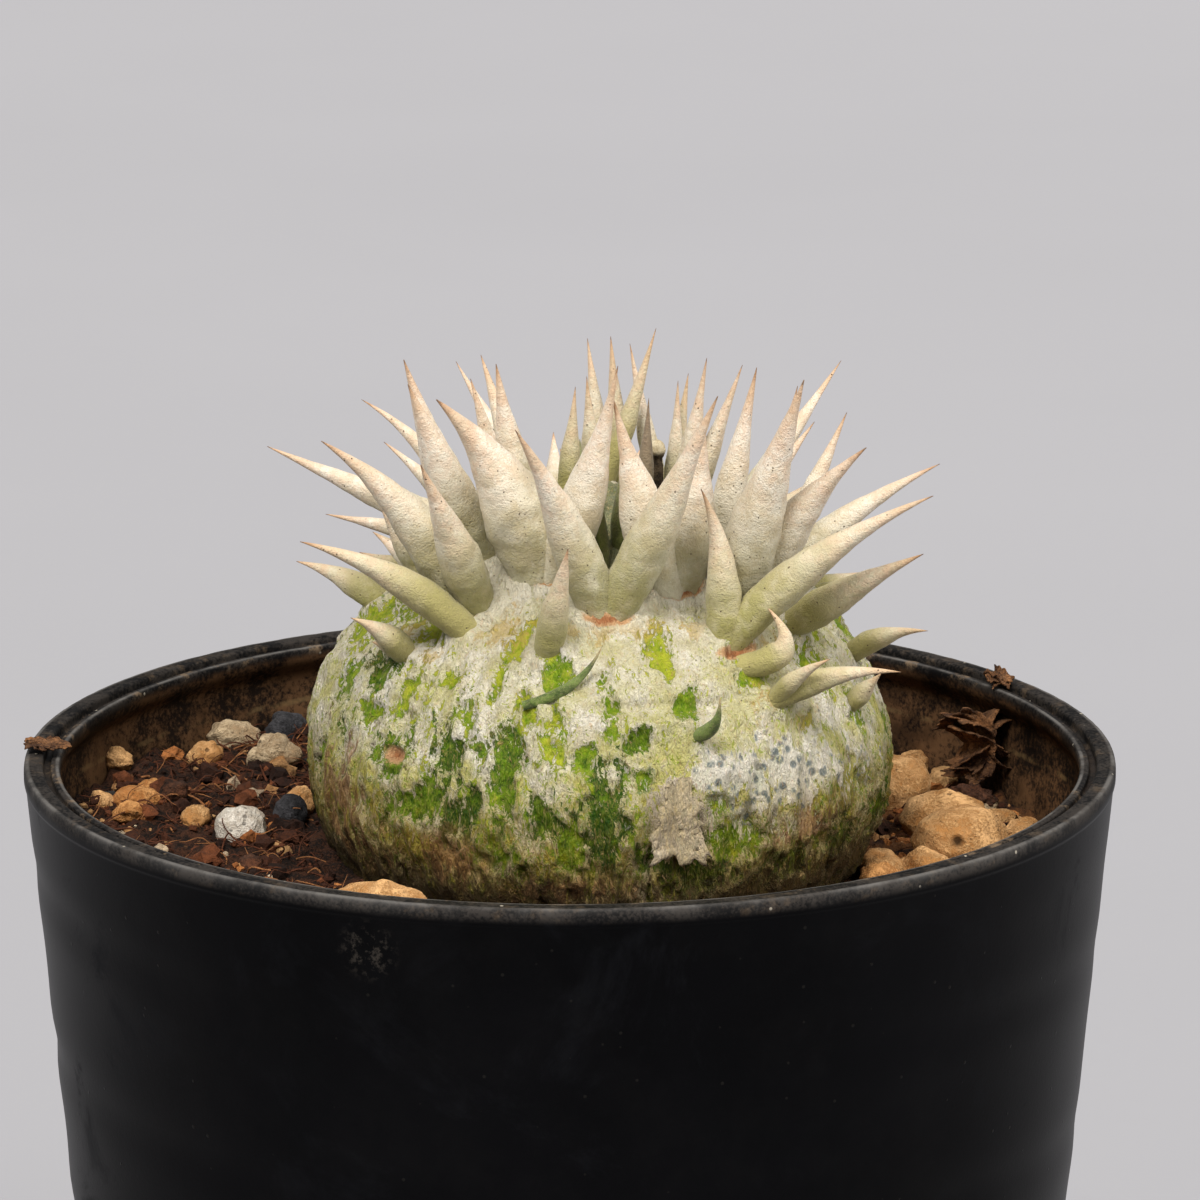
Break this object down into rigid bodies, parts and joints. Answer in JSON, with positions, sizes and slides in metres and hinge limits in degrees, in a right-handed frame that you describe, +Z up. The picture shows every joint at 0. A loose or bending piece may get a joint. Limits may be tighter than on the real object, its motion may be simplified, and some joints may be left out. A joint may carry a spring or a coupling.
{
  "type": "potted pachypodium",
  "caption": "Squat swollen caudex with green-mottled pale bark and a crown of paired felted spines, growing in a granular mix in a round tapered black nursery pot.",
  "frame": {"origin": "centre of the pot's foot, on the surface it stands on", "axes": "+Z up along the pot's axis; -Y towards the plant's front, where the widest paired spines stand; +X to the right seen from the front"},
  "size_m": [0.09, 0.09, 0.1159],
  "materials": {
    "black_plastic": "injection-moulded black plastic, satin, with dust, scuffs and soil stains inside",
    "potting_soil": "loose dark red-brown peat and coir crumbs with fine fibres and small granules",
    "caudex_bark": "papery whitish bark peeling in vertical strips over lime to deep green skin",
    "spine_felt": "short cream felt over a hard cone, tan at the tip and olive at the root",
    "dried_bud": "dry dark brown scales",
    "tan_granule": "baked clay granule, dusty, with a few dark pores",
    "ochre_granule": "orange-brown baked clay granule, dusty",
    "white_pumice": "rough white pumice with small pits",
    "grey_stone": "rough dark grey grit",
    "bark": "dry fibrous bark"
  },
  "bodies": {
    "root": {"bark_clump": "bark", "caudex": "caudex_bark", "grey_stone": "grey_stone", "growing_tip": "dried_bud", "hooked_spine_1": "spine_felt", "hooked_spine_2": "spine_felt", "hooked_spine_3": "spine_felt", "inner_spines_1": "spine_felt", "inner_spines_2": "spine_felt", "inner_spines_3": "spine_felt", "inner_spines_4": "spine_felt", "inner_spines_5": "spine_felt", "lower_spines_1": "spine_felt", "lower_spines_2": "spine_felt", "lower_spines_3": "spine_felt", "lower_spines_4": "spine_felt", "lower_spines_5": "spine_felt", "lower_spines_6": "spine_felt", "lower_spines_7": "spine_felt", "lower_spines_8": "spine_felt", "lower_spines_9": "spine_felt", "middle_spines_1": "spine_felt", "middle_spines_2": "spine_felt", "middle_spines_3": "spine_felt", "middle_spines_4": "spine_felt", "middle_spines_5": "spine_felt", "middle_spines_6": "spine_felt", "middle_spines_7": "spine_felt", "middle_spines_8": "spine_felt", "ochre_granule_left": "ochre_granule", "pale_granule_back": "tan_granule", "pot": "black_plastic", "rim_chip": "bark", "shoulder_spines_1": "spine_felt", "shoulder_spines_2": "spine_felt", "shoulder_spines_3": "spine_felt", "shoulder_spines_4": "spine_felt", "shoulder_spines_5": "spine_felt", "shoulder_spines_6": "spine_felt", "soil": "potting_soil", "tan_granule_behind": "tan_granule", "tan_granule_far": "tan_granule", "tan_granule_front": "tan_granule", "tan_granule_front_right": "tan_granule", "tan_granule_large": "tan_granule", "tip_spines_1": "spine_felt", "tip_spines_2": "spine_felt", "tip_spines_3": "spine_felt", "tip_spines_4": "spine_felt", "upper_spines_1": "spine_felt", "upper_spines_2": "spine_felt", "upper_spines_3": "spine_felt", "upper_spines_4": "spine_felt", "upper_spines_5": "spine_felt", "upper_spines_6": "spine_felt", "upper_spines_7": "spine_felt", "upper_spines_8": "spine_felt", "wall_chip": "bark", "white_pumice": "white_pumice"}
  },
  "joints": []
}
